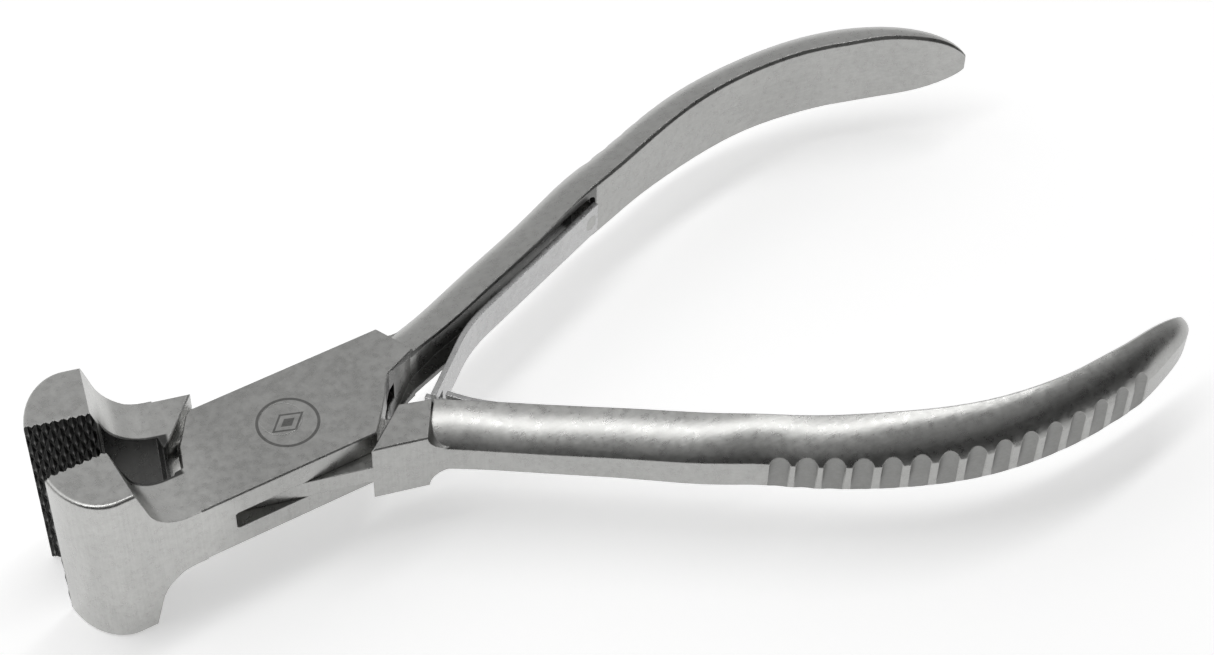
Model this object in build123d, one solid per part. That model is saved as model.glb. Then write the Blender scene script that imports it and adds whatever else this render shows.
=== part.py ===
from build123d import *
import math
import os

# Grozing pliers: two crossed halves in a box joint, held open by a pair of leaf springs.
# Both halves are drawn closed, mid-plane at z = 0, pivot axis on Z, jaws towards -X.
# Each half is drawn with its jaw at -Y and its handle at +Y. The tongue half is then mirrored.
# The last step opens the halves and lifts them, so that z = 0 is the joint's underside.

# Overall
OPEN_HALF_ANGLE = 7.5  # each half turns this far from closed, degrees
BODY_HALF = 4.6  # half thickness of the joint
JAW_HALF = 12.57  # half width of the 1 in jaw
EDGE_BREAK = 0.2  # chamfer round the joint's faces
FAR = 60.0  # length of a cutter that runs right through the tool

# Box joint
SIDE_NEAR = 8.0  # joint edge on the slotted half's jaw side
SIDE_FAR = 7.3  # joint edge on the other side
SLOT_HALF = 1.4
SLOT_RADIUS = 13.2
SLOT_REAR_RADIUS = 16.0  # the slot runs further out where the web meets its block
SLOT_REAR_ANGLE = 20.0
WEB_HALF = 1.33
WEB_RADIUS = 12.95
CORNER = 0.4  # rounding of the slot's end and of the web's rim
PIN_RADIUS = 2.6
PIN_CLEARANCE = 0.05
SHOULDER_OUTER = 9.45  # x of the block's shoulder at the tool's edge
SHOULDER_INNER = (14.4, 1.55)
NECK_OVERLAP = 0.5  # how far the joint's plates run into the jaw's neck

# Jaw
GRIP_TIP = -30.35
GRIP_REAR = -22.1
GRIP_CLEARANCE = 0.04  # each gripping face to the closed centre line
NOSE_CENTRE = -24.5
NOSE_WIDTH = 8.1
THROAT_STEP = 1.2  # the slotted half's grip runs this much further back
THROAT_SLOPE = (0.5, 1.0)  # how the throat falls away behind the grip
THROAT_RELIEF = 1.3
THROAT_END = -14.7
NECK_START = -18.0  # the neck narrows from here to the back of the jaw
JAW_BACK = -22.0
NECK_TOP_START = -20.05  # where the sloped back of the jaw would meet the joint's face
NECK_SLOPE = 17.0  # lean of the back of the jaw, degrees
SLOTTED_NECK_RADIUS = 5.2
TONGUE_NECK_RADIUS = 6.0
ARRIS = 0.5  # rounding along the jaw's curved front edge

# Serrations, cut in two crossing sets of V grooves
TOOTH_PITCH = 1.0
TOOTH_WIDTH = 0.9
TOOTH_DEPTH = 0.42
TOOTH_LEAN = 18.0

# Handle stations: x and y of the inner face, half height there, and the thickness of the
# slotted half's handle and of the tongue half's. The two are forged a little differently.
HANDLE_STATIONS = [
    (19.0, 1.57, 4.17, 5.2, 6.2),
    (21.5, 2.45, 4.1, 5.2, 6.25),
    (25.0, 3.57, 3.97, 5.2, 6.35),
    (30.0, 5.4, 3.93, 5.25, 6.4),
    (40.0, 9.12, 4.08, 5.35, 6.4),
    (50.0, 13.03, 4.4, 5.4, 6.4),
    (60.0, 16.35, 4.65, 5.65, 6.4),
    (70.0, 19.52, 5.22, 5.75, 6.45),
    (77.0, 21.1, 5.57, 5.95, 6.2),
    (84.0, 21.87, 5.67, 5.97, 5.9),
    (91.0, 21.65, 5.84, 6.2, 5.4),
    (97.0, 20.65, 5.86, 6.5, 5.05),
    (103.0, 18.9, 5.85, 6.35, 4.75),
    (108.0, 17.05, 5.58, 5.35, 4.1),
    (111.5, 15.45, 4.83, 4.3, 3.4),
    (113.9, 14.35, 3.86, 3.1, 2.75),
    (115.7, 13.4, 2.52, 2.0, 1.9),
    (116.7, 12.85, 1.24, 1.1, 1.1),
]
SLOTTED, TONGUE = 3, 4  # thickness column of each half
BAND_HALF = 2.0  # half width of the flat along the outside
BAND_SHARE = 0.45  # the flat is never wider than this share of the height
INNER_EDGE = 0.4  # chamfer along both edges of the inner face
INNER_EDGE_JOINT = 0.08  # it runs out towards the joint
INNER_EDGE_SPAN = (46.0, 60.0)  # x over which it grows

# Ends of the joint's faces: where each one crosses y = 5, and its lean across the handle
END_LEVEL = 5.0
SLOTTED_END = (18.1, 24.0)
TONGUE_END = (17.55, 19.0)
END_BLEND = 2.5  # radius from the joint's faces down to the handle

# Finger flutes on the outside of each handle
FLUTES = 15
FLUTE_FIRST = 59.3
FLUTE_LAST = 104.6
FLUTE_RADIUS = 1.65
FLUTE_DEPTH = 0.7

# Channel in the inner face, which gives the leaf spring room to bend. It flares towards
# the joint, where its floor runs out at the corner of the joint's plates or block.
CHANNEL_HALF = 3.2
CHANNEL_FLARE = (14.4, 19.5)
CHANNEL_END = 54.9
CHANNEL_CORNER = 1.2
CHANNEL_DEPTHS = [(20.5, 1.55), (25.0, 2.1), (32.0, 1.9), (40.0, 1.55), (48.0, 1.2), (CHANNEL_END, 1.0)]
CHANNEL_MOUTH = 3.0  # how far the cutter stands out of the inner face
PLATE_CORNER = (14.9, -0.25)

# Seat that the leaf is riveted to, and the leaf springs
SEAT_LENGTH = 2.9
SEAT_HALF = 1.9
SEAT_PROUD = 0.3  # above the inner face
SEAT_SUNK = 0.3  # how far the pad runs into the channel's floor
SEAT_GAP = 0.05  # between the pad and the leaf
LEAF_WIDTH = 4.9
LEAF_THICK = 0.7
LEAF_FIXED_X = 54.2
LEAF_BEND_RADIUS = 22.0
FORK_KNEE = (28.4, 3.95)  # where each leaf bends, on its back
TONGUE_KNEE = (24.6, 2.85)
CROSSING = (19.4, -1.4)  # where the two tips cross, with the pliers open
FORK_PAST = 0.6  # length of each tip beyond the crossing
TONGUE_PAST = 1.1
TIP_CUT = 1.8  # the fork and the tongue start this far before the crossing
FORK_GAP = 1.9
TONGUE_WIDTH = 1.5
RIVET_RADIUS = 1.1
RIVET_DEPTH = 3.0
RIVET_SET_BACK = 1.45
RIVET_CLEARANCE = 0.3


def plate(points, half):
    """A flat piece with the given outline, centred on the mid-plane."""
    outline = make_face(Polyline(*points, close=True))
    return extrude(outline, amount=half, both=True)


def broken_plate(points):
    """A plate as thick as the joint, with the edges of both faces broken."""
    slab = plate(points, BODY_HALF)
    rims = slab.edges().filter_by_position(Axis.Z, BODY_HALF - 0.01, BODY_HALF + 0.01)
    rims += slab.edges().filter_by_position(Axis.Z, -BODY_HALF - 0.01, -BODY_HALF + 0.01)
    return chamfer(rims, EDGE_BREAK)


def inner_curve():
    """Line of the handle's inner face, seen from above."""
    return Spline(*[station[:2] for station in HANDLE_STATIONS])


def handle_point(curve, x):
    """Point, tangent and outward normal of the inner face at a given x."""
    low, high = 0.0, 1.0
    while high - low > 1e-5:
        mid = (low + high) / 2
        if (curve @ mid).X < x:
            low = mid
        else:
            high = mid
    tangent = curve % low
    return curve @ low, tangent, Vector(-tangent.Y, tangent.X, 0)


def handle_section(curve, x, half, thick):
    """Half-round section: flat inside with chamfered edges, and a narrow flat outside."""
    point, tangent, normal = handle_point(curve, x)
    band = min(BAND_HALF, half * BAND_SHARE)
    edge = min(inner_edge(x), half / 10)
    reach = thick / math.sqrt(1 - (band / half) ** 2)
    crest = math.degrees(math.asin(band / half))
    root = math.degrees(math.acos(edge / reach))
    shoulder = half * math.sin(math.radians(root))
    upper = EllipticalCenterArc((0, 0), reach, half, start_angle=crest, arc_size=root - crest)
    lower = EllipticalCenterArc((0, 0), reach, half, start_angle=-root, arc_size=root - crest)
    inside = Polyline((edge, shoulder), (0, half - edge), (0, edge - half), (edge, -shoulder))
    outside = Line((thick, -band), (thick, band))
    face = make_face([upper, *inside.edges(), lower, outside])
    return Plane(origin=point, x_dir=normal, z_dir=tangent) * face


def inner_edge(x):
    """Chamfer of the inner face's edges at a given x."""
    start, full = INNER_EDGE_SPAN
    share = min(1.0, max(0.0, (x - start) / (full - start)))
    return INNER_EDGE_JOINT + (INNER_EDGE - INNER_EDGE_JOINT) * share


def handle(column):
    """Curved handle that narrows to a round tip, with finger flutes along the outside."""
    curve = inner_curve()
    sections = [handle_section(curve, row[0], row[2], row[column]) for row in HANDLE_STATIONS]
    return loft(sections) - flutes(curve, column)


def with_spring_seat(half, corner, line):
    """The half with its channel, the pad its leaf is riveted to, and the rivet's hole."""
    return half - channel(corner) + seat(line) - rivet_hole(line)


def thickness(x, column):
    """Handle thickness at a given x, between the stations."""
    for before, after in zip(HANDLE_STATIONS, HANDLE_STATIONS[1:]):
        if x <= after[0]:
            share = (x - before[0]) / (after[0] - before[0])
            return before[column] + (after[column] - before[column]) * share
    return HANDLE_STATIONS[-1][column]


def flutes(curve, column):
    """Round cutters, evenly spaced along the outer flat."""
    cutters = []
    for i in range(FLUTES):
        x = FLUTE_FIRST + (FLUTE_LAST - FLUTE_FIRST) * i / (FLUTES - 1)
        point, _, normal = handle_point(curve, x)
        centre = point + normal * (thickness(x, column) + FLUTE_RADIUS - FLUTE_DEPTH)
        cutters.append(Pos(centre) * Cylinder(FLUTE_RADIUS, FAR))
    return cutters


def channel(corner):
    """Cutter for the channel in the inner face, whose floor starts at the joint's corner."""
    curve = inner_curve()
    floor = [Vector(*corner)]
    mouth = [Vector(*corner) - Vector(0, CHANNEL_MOUTH)]
    for x, depth in CHANNEL_DEPTHS:
        point, _, normal = handle_point(curve, x)
        floor.append(point + normal * depth)
        mouth.append(point - normal * CHANNEL_MOUTH)
    plan = make_face(Polyline(*floor, *reversed(mouth), close=True))
    start, narrow = CHANNEL_FLARE
    flared = BODY_HALF + EDGE_BREAK
    corners = [(start, flared), (narrow, CHANNEL_HALF), (CHANNEL_END, CHANNEL_HALF)]
    lower = [(x, -z) for x, z in reversed(corners)]
    side = make_face(Polyline(*corners, *lower, close=True))
    side = fillet(side.vertices().sort_by(Axis.X)[-2:], CHANNEL_CORNER)
    return extrude(plan, amount=FAR, both=True) & extrude(Plane.XZ * side, amount=FAR, both=True)


def seat(line):
    """Pad in the channel, on which the leaf's fixed end sits."""
    start, knee, _ = line
    run = (knee - start).normalized()
    outward = Vector(run.Y, -run.X, 0)
    place = Plane(origin=start + outward * SEAT_GAP, x_dir=run, z_dir=outward)
    height = SEAT_PROUD + CHANNEL_DEPTHS[-1][1] + SEAT_SUNK
    pad = Box(SEAT_LENGTH, 2 * SEAT_HALF, height, align=(Align.MIN, Align.CENTER, Align.MIN))
    return place * pad


def grooves(lean):
    """One set of V grooves over the gripping face, leaning from the vertical."""
    spread = 2 * JAW_HALF * math.tan(math.radians(TOOTH_LEAN))
    set_width = (GRIP_REAR - GRIP_TIP + spread) * math.cos(math.radians(TOOTH_LEAN))
    count = round(set_width / TOOTH_PITCH) + 2
    over = TOOTH_DEPTH / 2  # the cutter's top stands this far out of the face
    half_top = TOOTH_WIDTH / 2 * (TOOTH_DEPTH + over) / TOOTH_DEPTH
    vee = make_face(Polyline((-half_top, over), (half_top, over), (0, -TOOTH_DEPTH), close=True))
    middle = (GRIP_TIP + GRIP_REAR) / 2
    place = Location((middle, -GRIP_CLEARANCE, 0)) * Location((0, 0, 0), (0, lean, 0))
    cutters = []
    for i in range(count):
        across = (i - (count - 1) / 2) * TOOTH_PITCH
        bar = extrude(Pos(across, 0) * vee, amount=3 * JAW_HALF, both=True)
        cutters.append(place * bar)
    return cutters


def grip_zone():
    """The part of the jaw that carries the serrations."""
    length = GRIP_REAR - GRIP_TIP + 1
    box = Box(length, 4, 4 * JAW_HALF, align=(Align.MAX, Align.CENTER, Align.CENTER))
    return Pos(GRIP_REAR, 0, 0) * box


def neck_profile(radius):
    """Side view of the jaw and neck, to trim the back of the jaw down to the joint."""
    lean = math.radians(NECK_SLOPE)
    top = Vector(NECK_TOP_START - (JAW_HALF - BODY_HALF) * math.tan(lean), JAW_HALF)
    corner = Vector(NECK_TOP_START, BODY_HALF)
    back = FilletPolyline(top, corner, (0, BODY_HALF), radius=radius)
    rest = Polyline((0, BODY_HALF), (0, 0), (-FAR, 0), (-FAR, JAW_HALF), top)
    upper = make_face(back.edges() + rest.edges())
    both = upper + mirror(upper, about=Plane.XZ)
    return Plane.XZ * both


def jaw(side, grip_end, neck_radius):
    """Jaw head and neck. The head is a half-round nose with a serrated gripping face."""
    clear = -GRIP_CLEARANCE
    nose = GRIP_TIP - NOSE_CENTRE
    back = clear - NOSE_WIDTH
    slope_end = (grip_end + THROAT_SLOPE[0], clear - THROAT_SLOPE[1])
    outline = Polyline(
        (GRIP_TIP, clear),
        (grip_end, clear),
        slope_end,
        (NECK_START, -THROAT_RELIEF),
        (THROAT_END, -THROAT_RELIEF),
        (THROAT_END, -side),
        (NECK_START, -side),
        (JAW_BACK, back),
        (NOSE_CENTRE, back),
    ).edges()
    outline += EllipticalCenterArc(
        (NOSE_CENTRE, clear), -nose, NOSE_WIDTH, start_angle=180, arc_size=90
    ).edges()
    block = extrude(make_face(outline), amount=JAW_HALF, both=True)
    block &= extrude(neck_profile(neck_radius), amount=FAR, both=True)
    block = fillet(front_arris(block), ARRIS)
    teeth = Part() + grooves(TOOTH_LEAN) + grooves(-TOOTH_LEAN)
    return block - (teeth & grip_zone())


def front_arris(block):
    """Top and bottom edges round the nose, all but the gripping edge and the back edge."""
    ends = [edge for edge in block.edges() if abs(abs(edge.center().Z) - JAW_HALF) < 0.01]
    return [edge for edge in ends if edge.center().Y < -1 and abs((edge % 0.5).Y) < 0.99]


def face_ends(crossing, lean):
    """Cutters that blend the joint's top and bottom faces down to the handle."""
    place = Pos(crossing, END_LEVEL) * Rot(0, 0, lean)
    cutters = []
    for side in (1, -1):
        roller = Pos(END_BLEND, 0, side * BODY_HALF) * Rot(90, 0, 0)
        cutters.append(place * roller * Cylinder(END_BLEND, FAR))
        beyond = Box(20, FAR, 2 * END_BLEND, align=(Align.MIN, Align.CENTER, Align.CENTER))
        cutters.append(place * Pos(END_BLEND, 0, side * BODY_HALF) * beyond)
    return cutters


def pin_hole(radius):
    return Cylinder(radius, FAR)


def slotted_half():
    """Half with the two joint plates. The other half's web passes between them."""
    plates = broken_plate(
        [
            (THROAT_END - NECK_OVERLAP, -SIDE_NEAR),
            (9.0, -SIDE_NEAR),
            (10.1, -6.7),
            (11.3, -5.2),
            (13.3, -2.5),
            (13.8, -1.6),
            PLATE_CORNER,
            (19.2, 1.64),
            (22.0, 2.7),
            (22.0, 7.6),
            (20.0, SIDE_FAR),
            (-8.9, SIDE_FAR),
            (-9.75, 6.6),
            (-11.3, 4.3),
            (-12.5, 2.6),
            (-13.2, 0.75),
            (-13.75, -0.65),
            (THROAT_END, -0.75),
            (THROAT_END - NECK_OVERLAP, -THROAT_RELIEF),
        ]
    )
    plates -= face_ends(*SLOTTED_END)
    head = jaw(SIDE_NEAR, GRIP_REAR + THROAT_STEP, SLOTTED_NECK_RADIUS)
    half = with_spring_seat(head + plates + handle(SLOTTED), PLATE_CORNER, fork_line())
    return half - slot() - pin_hole(PIN_RADIUS)


def slot():
    """Cutters for the web's space: a disc, and a wider sector behind the pivot."""
    disc = Cylinder(SLOT_RADIUS, 2 * SLOT_HALF)
    disc = fillet(disc.edges().filter_by(GeomType.CIRCLE), CORNER)
    rim = CenterArc((0, 0), SLOT_REAR_RADIUS, start_angle=-90, arc_size=90 + SLOT_REAR_ANGLE)
    sector = make_face([rim, Line(rim @ 1, (0, 0)), Line((0, 0), rim @ 0)])
    return [disc, extrude(sector, amount=SLOT_HALF, both=True)]


def tongue_half():
    """Half with the web. It is drawn as the slotted half is, and mirrored when placed."""
    neck = broken_plate(
        [
            (THROAT_END - NECK_OVERLAP, -SIDE_FAR),
            (-9.9, -SIDE_FAR),
            (-10.1, -6.9),
            (-14.35, 0.5),
            (-14.75, 0.5),
            (THROAT_END - NECK_OVERLAP, -THROAT_RELIEF),
        ]
    )
    block = broken_plate(
        [
            (SHOULDER_OUTER, SIDE_NEAR),
            SHOULDER_INNER,
            (17.0, 1.75),
            (19.2, 1.85),
            (22.0, 2.75),
            (22.0, 8.3),
            (19.0, SIDE_NEAR),
        ]
    )
    block -= face_ends(*TONGUE_END)
    disc = Cylinder(WEB_RADIUS, 2 * WEB_HALF)
    disc = fillet(disc.edges().filter_by(GeomType.CIRCLE), CORNER)
    strip = Pos(0, (SIDE_NEAR - SIDE_FAR) / 2) * Box(FAR, SIDE_NEAR + SIDE_FAR, 2 * BODY_HALF)
    inner_x, inner_y = SHOULDER_INNER
    root_points = [
        (8.0, SIDE_NEAR),
        (SHOULDER_OUTER + EDGE_BREAK, SIDE_NEAR),
        (inner_x + EDGE_BREAK, inner_y + EDGE_BREAK),
        (inner_x, 0.9),
        (10.0, 0.9),
    ]
    web = (disc & strip) + plate(root_points, WEB_HALF)
    head = jaw(SIDE_FAR, GRIP_REAR, TONGUE_NECK_RADIUS)
    body = head + neck + block + handle(TONGUE)
    half = with_spring_seat(body, SHOULDER_INNER, tongue_line())
    return half + web - pin_hole(PIN_RADIUS + PIN_CLEARANCE)


def pivot_pin():
    """Pin pressed into both plates and ground flush."""
    return Cylinder(PIN_RADIUS, 2 * BODY_HALF)


def leaf_line(knee, mirrored):
    """Start, knee and crossing point of a leaf's back, in its own half's closed position."""
    point, _, normal = handle_point(inner_curve(), LEAF_FIXED_X)
    start = point - normal * (SEAT_PROUD + SEAT_GAP)
    x, y = CROSSING
    crossing = Vector(x, -y if mirrored else y).rotate(Axis.Z, -OPEN_HALF_ANGLE)
    return start, Vector(*knee), crossing


def fork_line():
    return leaf_line(FORK_KNEE, mirrored=False)


def tongue_line():
    return leaf_line(TONGUE_KNEE, mirrored=True)


def rivet(line, radius, low, high):
    """Round bar across the leaf's fixed end, from low to high above its back."""
    start, knee, _ = line
    run = (knee - start).normalized()
    across = Vector(-run.Y, run.X, 0)
    foot = start + run * RIVET_SET_BACK + across * low
    bar = Cylinder(radius, high - low, align=(Align.CENTER, Align.CENTER, Align.MIN))
    return Plane(origin=foot, z_dir=across) * bar


def leaf_rivet(line):
    """Rivet, flush with the leaf, with its shank in a blind hole in the handle."""
    return rivet(line, RIVET_RADIUS, -RIVET_DEPTH, LEAF_THICK)


def rivet_hole(line):
    """Blind hole for the rivet's shank, with room for the leaf to tilt."""
    return rivet(line, RIVET_RADIUS + RIVET_CLEARANCE, -RIVET_DEPTH - RIVET_CLEARANCE, LEAF_THICK)


def leaf_strip(line, past):
    """Leaf spring: riveted end, straight run, a bend, and a tip past the crossing point."""
    start, knee, crossing = line
    end = crossing + (crossing - knee).normalized() * past
    path = FilletPolyline(start, knee, end, radius=LEAF_BEND_RADIUS)
    run = (knee - start).normalized()
    inward = Vector(-run.Y, run.X, 0)
    section = Plane(origin=start + inward * (LEAF_THICK / 2), x_dir=inward, z_dir=run)
    strip = sweep(section * Rectangle(LEAF_THICK, LEAF_WIDTH), path=path)
    return strip - rivet(line, RIVET_RADIUS, -1, 2 * LEAF_THICK)


def tip_box(line, height, align):
    """Cutter over a leaf's last stretch, from TIP_CUT before the crossing."""
    _, knee, crossing = line
    tip = Plane(origin=crossing, x_dir=(crossing - knee).normalized(), z_dir=(0, 0, 1))
    box = Box(3 * TIP_CUT, 3 * TIP_CUT, height, align=(Align.MIN, Align.CENTER, align))
    return tip * (Pos(-TIP_CUT, 0, 0) * box)


def forked_leaf():
    """Leaf whose tip is split, so that the other leaf's tongue passes through."""
    line = fork_line()
    return leaf_strip(line, FORK_PAST) - tip_box(line, FORK_GAP, Align.CENTER)


def tongued_leaf():
    """Leaf whose tip narrows to a tongue."""
    line = tongue_line()
    strip = leaf_strip(line, TONGUE_PAST)
    for side, align in ((1, Align.MIN), (-1, Align.MAX)):
        strip -= Pos(0, 0, side * TONGUE_WIDTH / 2) * tip_box(line, LEAF_WIDTH, align)
    return strip


def open_up(piece, mirrored=False):
    """Turn a closed piece to its open place and lift it onto the joint's underside."""
    turned = Rot(0, 0, OPEN_HALF_ANGLE) * piece
    placed = mirror(turned, about=Plane.XZ) if mirrored else turned
    return Pos(0, 0, BODY_HALF) * placed


os.makedirs("parts", exist_ok=True)
pieces = {
    "slotted_half": open_up(slotted_half()),
    "tongue_half": open_up(tongue_half(), mirrored=True),
    "pivot_pin": open_up(pivot_pin()),
    "upper_leaf_spring": open_up(forked_leaf()),
    "upper_leaf_rivet": open_up(leaf_rivet(fork_line())),
    "lower_leaf_spring": open_up(tongued_leaf(), mirrored=True),
    "lower_leaf_rivet": open_up(leaf_rivet(tongue_line()), mirrored=True),
}
for name, piece in pieces.items():
    piece.label = name
    export_step(piece, f"parts/{name}.step")
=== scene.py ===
import math

import bpy
import numpy
from mathutils import Matrix, Vector


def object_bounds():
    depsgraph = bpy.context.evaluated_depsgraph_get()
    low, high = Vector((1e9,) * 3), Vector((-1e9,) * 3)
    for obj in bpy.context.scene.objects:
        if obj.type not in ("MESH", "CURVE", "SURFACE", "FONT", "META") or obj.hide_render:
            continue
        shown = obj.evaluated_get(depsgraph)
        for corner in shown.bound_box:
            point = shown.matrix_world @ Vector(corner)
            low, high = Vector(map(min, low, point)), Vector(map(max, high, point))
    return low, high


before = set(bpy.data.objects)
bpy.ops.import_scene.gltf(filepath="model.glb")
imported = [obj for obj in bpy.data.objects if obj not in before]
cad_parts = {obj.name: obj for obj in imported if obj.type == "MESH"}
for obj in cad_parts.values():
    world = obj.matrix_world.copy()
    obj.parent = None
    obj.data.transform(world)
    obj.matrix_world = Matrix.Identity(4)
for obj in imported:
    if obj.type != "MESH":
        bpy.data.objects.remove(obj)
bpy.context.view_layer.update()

MM = 0.001

# Object geometry in the row frame, which the materials' zones follow (millimetres)
MID_Z = 4.6  # mid-plane of the pliers above the frame's origin
TOP_Z = 9.2  # upper face of the joint
OPEN_HALF_ANGLE = 7.5  # each half is turned this far from the centre line, degrees
GRIP_REAR = -21.4  # back of the serrations
JAW_HALF = 12.57
GRIP_SKIN = 0.5  # the serrated face's zone reaches this deep
GRIP_DEPTH = 0.42  # depth of one groove
THROAT_REAR = -14.2
THROAT_SKIN = 1.75
CROTCH_CORNER = (14.9, -0.25)  # where the joint meets the handle on the inside
CROTCH_SLOPE = 0.65
JAW_PAINTED_SPAN = (-16.0, -6.0)  # stretch over which the jaws are painted lighter than the handles, painted light for their brightly lit faces
MARK_CENTRE = (0.6, -0.8)
MARK_RADIUS = 3.8
MARK_LINE = 0.3
MARK_TURN = 20.0  # degrees

# Camera: what it looks at, from where, and its lens
CAMERA_TARGET = Vector((45.0, 1.6, MID_Z)) * MM
CAMERA_AZIMUTH = -26.21  # degrees, turned about Z from looking along +Y
CAMERA_ELEVATION = 47.48
CAMERA_ROLL = 1.91
CAMERA_DISTANCE = 331.3 * MM
CAMERA_LENS = 75.65

# Steels
FORGED = (0.415, 0.415, 0.405)
SPRING = (0.50, 0.50, 0.50)

# Zones' brightness, as a share of the steel's own: painted shade in the grip, throat, crotch and
# flutes, painted light on the jaws and edges; the etched mark is real
GROOVE_PAINTED_SHADE, CREST_PAINTED_SHADE = 0.07, 0.30
THROAT_PAINTED_SHADE = 0.16
JAW_PAINTED_LIGHT = 1.22
CROTCH_PAINTED_SHADE = 0.4
MARK_SHADE = 0.42
FLUTE_PAINTED_SHADE = 0.66  # the flutes are painted darker than the ridges between them: painted shade in the hollows
PAINTED_EDGE_HIGHLIGHT = 0.25  # edges are painted lighter: a painted highlight along the arrises

# Which faces lie in a finger flute
FLUTE_FIT = (38.0, 108.0)  # stretch of the handle whose outside line is fitted (mm)
FLUTE_START = 56.0
FIT_DEGREE = 5
FIT_ROUNDS = 12
FLUTE_STEP = 0.1  # a face this far below the line lies in a flute (mm)
UPRIGHT = 0.03  # largest Z part of an upright face's normal
OUTWARD = 0.3

# Grain
HANDLE_GRAIN = (22.0, 26.0)  # from here on the grain runs along the handle (mm)
EDGE_RADIUS = 0.2 * MM
SHARP_ANGLE = 28.0  # edges sharper than this stay sharp, degrees

# Studio surroundings: radiance towards the front, the back, and straight up
FRONT_LEVEL = 0.06
BACK_LEVEL = 0.60
ZENITH_LEVEL = 0.34
FLOOR_GLOW = 0.42


def add_camera():
    """Camera at the photograph's viewing angle."""
    azimuth, elevation = math.radians(CAMERA_AZIMUTH), math.radians(CAMERA_ELEVATION)
    roll = math.radians(CAMERA_ROLL)
    level = Vector((-math.sin(azimuth), math.cos(azimuth), 0))
    forward = level * math.cos(elevation) - Vector((0, 0, math.sin(elevation)))
    right = Vector((math.cos(azimuth), math.sin(azimuth), 0))
    up = right.cross(forward)
    rolled_right = right * math.cos(roll) + up * math.sin(roll)
    rolled_up = up * math.cos(roll) - right * math.sin(roll)
    data = bpy.data.cameras.new("camera")
    data.lens = CAMERA_LENS
    data.sensor_width = 36
    data.clip_start = 0.01
    camera = bpy.data.objects.new("camera", data)
    place = Matrix((rolled_right, rolled_up, -forward)).transposed().to_4x4()
    place.translation = CAMERA_TARGET - forward * CAMERA_DISTANCE
    camera.matrix_world = place
    bpy.context.scene.collection.objects.link(camera)
    bpy.context.scene.camera = camera


def add_area_light(name, position, aim, size, power, size_y=None):
    """Soft rectangular lamp at position, pointing at aim (metres)."""
    data = bpy.data.lights.new(name, "AREA")
    data.shape = "RECTANGLE"
    data.size = size
    data.size_y = size_y or size
    data.energy = power
    lamp = bpy.data.objects.new(name, data)
    lamp.location = position
    lamp.rotation_euler = (Vector(aim) - Vector(position)).to_track_quat("-Z", "Y").to_euler()
    bpy.context.scene.collection.objects.link(lamp)


class Nodes:
    """Small helper to build a node tree in plain steps."""

    def __init__(self, tree):
        self.tree = tree

    def link(self, value, socket):
        if hasattr(value, "is_output"):
            self.tree.links.new(value, socket)
        else:
            socket.default_value = value

    def math(self, operation, a, b=0.0, clamp=False):
        node = self.tree.nodes.new("ShaderNodeMath")
        node.operation = operation
        node.use_clamp = clamp
        self.link(a, node.inputs[0])
        self.link(b, node.inputs[1])
        return node.outputs[0]

    def add(self, a, b):
        return self.math("ADD", a, b)

    def times(self, a, b):
        return self.math("MULTIPLY", a, b)

    def rest(self, mask):
        """What a mask leaves over, 1 - mask."""
        return self.math("SUBTRACT", 1.0, mask)

    def ramp(self, value, low, high, to_low=0.0, to_high=1.0):
        """Value mapped from low..high to to_low..to_high, smoothly and clamped."""
        node = self.tree.nodes.new("ShaderNodeMapRange")
        node.interpolation_type = "SMOOTHSTEP"
        for socket, given in zip(node.inputs, (value, low, high, to_low, to_high)):
            self.link(given, socket)
        return node.outputs[0]

    def window(self, value, low, high, soft):
        """1 between low and high, falling to 0 over soft outside them."""
        return self.times(
            self.ramp(value, low - soft, low), self.ramp(value, high, high + soft, 1.0, 0.0)
        )

    def vector(self, operation, a, b):
        node = self.tree.nodes.new("ShaderNodeVectorMath")
        node.operation = operation
        self.link(a, node.inputs[0])
        self.link(b, node.inputs[1])
        return node.outputs["Value" if operation == "DOT_PRODUCT" else "Vector"]

    def split(self, vector):
        node = self.tree.nodes.new("ShaderNodeSeparateXYZ")
        self.link(vector, node.inputs[0])
        return tuple(node.outputs)

    def noise(self, vector, scale, detail=2.0, roughness=0.5):
        node = self.tree.nodes.new("ShaderNodeTexNoise")
        self.link(vector, node.inputs["Vector"])
        node.inputs["Scale"].default_value = scale
        node.inputs["Detail"].default_value = detail
        node.inputs["Roughness"].default_value = roughness
        return node.outputs["Fac"]

    def bump(self, height, distance, strength, normal=None):
        node = self.tree.nodes.new("ShaderNodeBump")
        node.inputs["Strength"].default_value = strength
        node.inputs["Distance"].default_value = distance
        self.link(height, node.inputs["Height"])
        if normal is not None:
            self.link(normal, node.inputs["Normal"])
        return node.outputs[0]


def add_world():
    """Surroundings that are darker in front of the tool than behind it."""
    world = bpy.data.worlds.new("studio")
    world.use_nodes = True
    n = Nodes(world.node_tree)
    back = world.node_tree.nodes["Background"]
    direction = world.node_tree.nodes.new("ShaderNodeTexCoord").outputs["Generated"]
    _, y, z = n.split(direction)
    side = n.ramp(y, -0.5, 0.6, FRONT_LEVEL, BACK_LEVEL)
    level = n.ramp(z, 0.6, 1.0, 0.0, 1.0)
    strength = n.add(n.times(side, n.rest(level)), n.times(level, ZENITH_LEVEL))
    back.inputs["Color"].default_value = (1, 1, 1, 1)
    n.link(strength, back.inputs["Strength"])
    bpy.context.scene.world = world


def add_floor():
    """Plain white floor just under the jaws, glowing a little like a product sweep."""
    low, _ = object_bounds()
    bpy.ops.mesh.primitive_plane_add(size=4, location=(low[0], 0, low[2] - 0.0002))
    floor = bpy.context.object
    floor.name = "floor"
    material = bpy.data.materials.new("floor")
    material.use_nodes = True
    shader = material.node_tree.nodes["Principled BSDF"]
    shader.inputs["Base Color"].default_value = (0.95, 0.95, 0.95, 1)
    shader.inputs["Roughness"].default_value = 0.9
    shader.inputs["Specular IOR Level"].default_value = 0.0
    shader.inputs["Emission Color"].default_value = (1, 1, 1, 1)
    shader.inputs["Emission Strength"].default_value = FLOOR_GLOW
    floor.data.materials.append(material)


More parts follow.
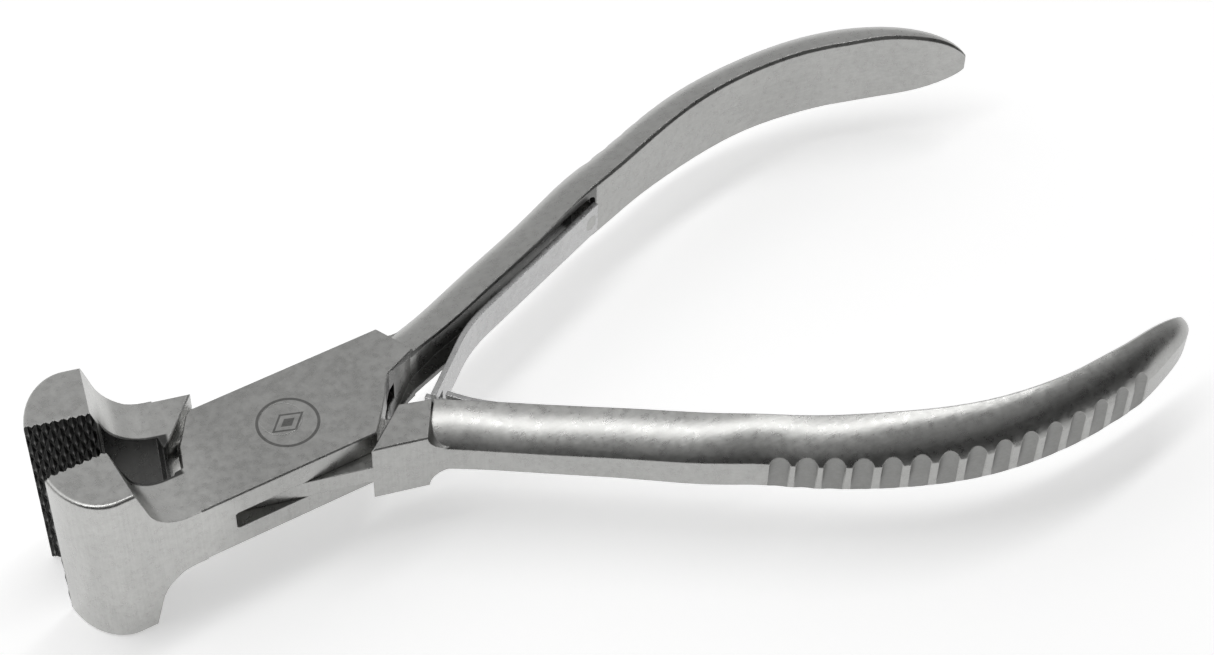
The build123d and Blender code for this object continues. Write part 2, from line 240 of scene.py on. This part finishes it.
def half_frame(n, place, side):
    """Position in a half's own closed frame: jaw at -y, handle at +y, mid-plane at z = 0."""
    angle = math.radians(OPEN_HALF_ANGLE)
    along = n.vector("DOT_PRODUCT", place, (math.cos(angle), side * math.sin(angle), 0))
    across = n.vector("DOT_PRODUCT", place, (-math.sin(angle), side * math.cos(angle), 0))
    _, _, z = n.split(place)
    return along, across, n.add(z, -MID_Z)


def crotch_mask(n, x, y, side):
    """1 on inward, upright faces of the channel and the joint's rear, where the shade between the
    handles is painted in.
    """
    wall = n.add(n.times(n.add(x, -CROTCH_CORNER[0]), CROTCH_SLOPE), CROTCH_CORNER[1] + 0.25)
    below = n.ramp(n.math("SUBTRACT", y, wall), -0.1, 0.15, 1.0, 0.0)
    near = n.window(x, CROTCH_CORNER[0] - 1.5, CROTCH_CORNER[0] + 40, 0.5)
    normal = n.tree.nodes.new("ShaderNodeNewGeometry").outputs["Normal"]
    _, _, up = n.split(normal)
    upright = n.ramp(n.math("ABSOLUTE", up), 0.3, 0.6, 1.0, 0.0)
    angle = math.radians(OPEN_HALF_ANGLE)
    outward = n.vector("DOT_PRODUCT", normal, (-math.sin(angle), side * math.cos(angle), 0))
    inner = n.ramp(outward, 0.4, 0.6, 1.0, 0.0)
    return n.times(n.times(below, near), n.times(upright, inner))


def edge_mask(n, radius, low, high):
    """1 along convex and concave edges, from how far a rounded normal turns away."""
    bevel = n.tree.nodes.new("ShaderNodeBevel")
    bevel.samples = 4
    bevel.inputs["Radius"].default_value = radius
    plain = n.tree.nodes.new("ShaderNodeNewGeometry").outputs["Normal"]
    turn = n.vector("DOT_PRODUCT", bevel.outputs[0], plain)
    return n.ramp(turn, low, high, 1.0, 0.0), bevel.outputs[0]


def steel(name, side=0, base=FORGED, roughness=0.29, marked=False):
    """Satin steel with ground grain, mottling and painted highlights along its edges. A half also
    has its zones of painted shade and painted light.
    """
    material = bpy.data.materials.new(name)
    material.use_nodes = True
    n = Nodes(material.node_tree)
    shader = material.node_tree.nodes["Principled BSDF"]
    coordinates = n.tree.nodes.new("ShaderNodeTexCoord").outputs["Object"]
    place = n.vector("MULTIPLY", coordinates, (1 / MM, 1 / MM, 1 / MM))
    _, _, top = n.split(place)

    fine = n.noise(place, 6.0, 3.0, 0.6)
    mottle = n.noise(place, 0.9, 4.0, 0.62)
    drift = n.noise(place, 0.12, 2.0, 0.5)
    across_grain = n.noise(n.vector("MULTIPLY", place, (4.0, 4.0, 0.12)), 1.0, 3.0, 0.6)
    along_grain = n.noise(n.vector("MULTIPLY", place, (0.22, 3.2, 3.2)), 1.0, 3.0, 0.6)
    on_handle = n.ramp(n.split(place)[0], *HANDLE_GRAIN)
    brushed = n.add(
        n.times(along_grain, on_handle), n.times(across_grain, n.rest(on_handle))
    )
    tone = n.add(n.ramp(mottle, 0.3, 0.7, -0.06, 0.06), n.ramp(drift, 0.3, 0.7, -0.03, 0.03))
    tone = n.add(tone, n.ramp(fine, 0.25, 0.75, -0.035, 0.035))
    tone = n.add(tone, n.ramp(brushed, 0.3, 0.7, -0.03, 0.03))
    edge, rounded = edge_mask(n, EDGE_RADIUS, 0.80, 0.97)

    rough = n.add(roughness, n.ramp(mottle, 0.3, 0.7, -0.03, 0.05))
    value = n.add(1.0, tone)
    if side:
        x, y, z = half_frame(n, place, side)
        inside = n.ramp(n.math("ABSOLUTE", z), JAW_HALF - 0.03, JAW_HALF - 0.01, 1.0, 0.0)
        front = n.ramp(x, GRIP_REAR, GRIP_REAR + 0.3, 1.0, 0.0)
        skin = n.ramp(y, -GRIP_SKIN - 0.05, -GRIP_SKIN + 0.05)
        grip = n.times(n.times(front, skin), inside)
        # Painted shade on the throat wall between the jaws
        throat = n.times(
            n.window(x, GRIP_REAR, THROAT_REAR, 0.6), n.ramp(y, -THROAT_SKIN, -THROAT_SKIN + 0.3)
        )
        # Painted shade on the serrated grip face: the deeper parts of the teeth are painted darker
        crest = n.ramp(y, -GRIP_DEPTH * 0.45, -0.06)
        teeth = n.ramp(crest, 0.0, 1.0, GROOVE_PAINTED_SHADE, CREST_PAINTED_SHADE)
        value = n.add(n.times(value, n.rest(grip)), n.times(grip, teeth))
        value = n.times(value, n.ramp(throat, 0.0, 1.0, 1.0, THROAT_PAINTED_SHADE))
        # Painted light: the jaws are painted lighter than the handles
        jaw = n.ramp(x, JAW_PAINTED_SPAN[0], JAW_PAINTED_SPAN[1], 1.0, 0.0)
        value = n.times(value, n.ramp(jaw, 0.0, 1.0, 1.0, JAW_PAINTED_LIGHT))
        # Painted shade in the crotch and channel between the handles
        crotch = crotch_mask(n, x, y, side)
        value = n.times(value, n.ramp(crotch, 0.0, 1.0, 1.0, CROTCH_PAINTED_SHADE))
        rough = n.add(rough, n.times(grip, 0.15))
    if marked:
        value = n.times(value, mark(n, place, top))
    # Painted highlight along convex and concave edges
    value = n.add(value, n.times(edge, PAINTED_EDGE_HIGHLIGHT))
    combine = n.tree.nodes.new("ShaderNodeCombineXYZ")
    for socket, channel in zip(combine.inputs, base):
        n.link(n.times(value, channel), socket)
    n.link(combine.outputs[0], shader.inputs["Base Color"])
    shader.inputs["Metallic"].default_value = 1.0
    n.link(rough, shader.inputs["Roughness"])
    relief = n.bump(mottle, 0.05 * MM, 0.10, rounded)
    relief = n.bump(brushed, 0.02 * MM, 0.35, relief)
    n.link(n.bump(fine, 0.01 * MM, 0.4, relief), shader.inputs["Normal"])
    return material


def mark(n, place, top):
    """Factor that darkens an etched ring with a lozenge in it, on the joint's upper face."""
    centre = (MARK_CENTRE[0], MARK_CENTRE[1], TOP_Z)
    offset = n.vector("SUBTRACT", place, centre)
    turn = math.radians(MARK_TURN)
    u = n.vector("DOT_PRODUCT", offset, (math.cos(turn), math.sin(turn), 0))
    v = n.vector("DOT_PRODUCT", offset, (-math.sin(turn), math.cos(turn), 0))
    radius = n.math("SQRT", n.add(n.times(u, u), n.times(v, v)))
    half = MARK_LINE / 2
    ring = n.window(radius, MARK_RADIUS - half, MARK_RADIUS + half, 0.08)
    span = n.add(n.math("ABSOLUTE", u), n.times(n.math("ABSOLUTE", v), 1.5))
    outline = n.window(span, 2.1, 2.5, 0.08)
    core = n.ramp(span, 1.0, 1.2, 1.0, 0.0)
    lines = n.math("MAXIMUM", ring, n.math("MAXIMUM", outline, core))
    lines = n.times(lines, n.ramp(top, TOP_Z - 0.1, TOP_Z - 0.02))
    return n.ramp(lines, 0.0, 1.0, 1.0, MARK_SHADE)


def in_flutes(piece, side):
    """Faces of a half that lie in its finger flutes: upright ones below the ridges' line."""
    angle = math.radians(OPEN_HALF_ANGLE)
    cos, sin = math.cos(angle), math.sin(angle)
    faces, centres, corners = [], [], []
    for polygon in piece.data.polygons:
        outward = side * polygon.normal.y * cos - polygon.normal.x * sin
        points = [piece.data.vertices[i].co / MM for i in polygon.vertices]
        points = [(p.x * cos + side * p.y * sin, side * p.y * cos - p.x * sin) for p in points]
        reach = [along for along, _ in points]
        if abs(polygon.normal.z) > UPRIGHT or outward < OUTWARD:
            continue
        if min(reach) < FLUTE_FIT[0] or max(reach) > FLUTE_FIT[1]:
            continue
        corners += points
        if min(reach) > FLUTE_START:
            faces.append(polygon.index)
            centres.append(numpy.mean(points, axis=0))
    corners, centres = numpy.array(corners), numpy.array(centres)
    ridge = numpy.ones(len(corners), bool)
    for _ in range(FIT_ROUNDS):
        line = numpy.polyfit(corners[ridge, 0], corners[ridge, 1], FIT_DEGREE)
        ridge = numpy.polyval(line, corners[:, 0]) - corners[:, 1] < FLUTE_STEP
    gaps = numpy.polyval(line, centres[:, 0]) - centres[:, 1]
    return [faces[i] for i in numpy.flatnonzero(gaps > FLUTE_STEP)]


def dress(node_name, material):
    """Give a CAD node its material, and smooth its curved faces."""
    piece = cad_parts[node_name]
    piece.data.materials.clear()
    piece.data.materials.append(material)
    for polygon in piece.data.polygons:
        polygon.use_smooth = True
    piece.data.set_sharp_from_angle(angle=math.radians(SHARP_ANGLE))


bpy.context.scene.view_settings.view_transform = "Standard"
add_camera()
add_world()
add_floor()
add_area_light("strip", (0.02, 0.09, 0.62), (0.05, 0, 0), 0.9, 1.3, 0.09)
add_area_light("soft", (-0.5, 0.3, 0.7), (0.04, 0, 0), 0.6, 0.8)

# Flute faces get a darker copy of the steel: painted shade in the hollows
fluted = steel("flute_steel", base=tuple(c * FLUTE_PAINTED_SHADE for c in FORGED), roughness=0.4)
for node_name, material_name, side in (
    ("slotted_half", "slotted_steel", 1),
    ("tongue_half", "tongue_steel", -1),
):
    dress(node_name, steel(material_name, side, marked=side > 0))
    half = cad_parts[node_name]
    half.data.materials.append(fluted)
    for index in in_flutes(half, side):
        half.data.polygons[index].material_index = 1
pins = steel("pin_steel")
for node_name in ("upper_leaf_rivet", "lower_leaf_rivet"):
    dress(node_name, pins)
dress("pivot_pin", steel("pivot_steel", marked=True))
spring = steel("spring_steel", base=SPRING, roughness=0.27)
for node_name in ("upper_leaf_spring", "lower_leaf_spring"):
    dress(node_name, spring)
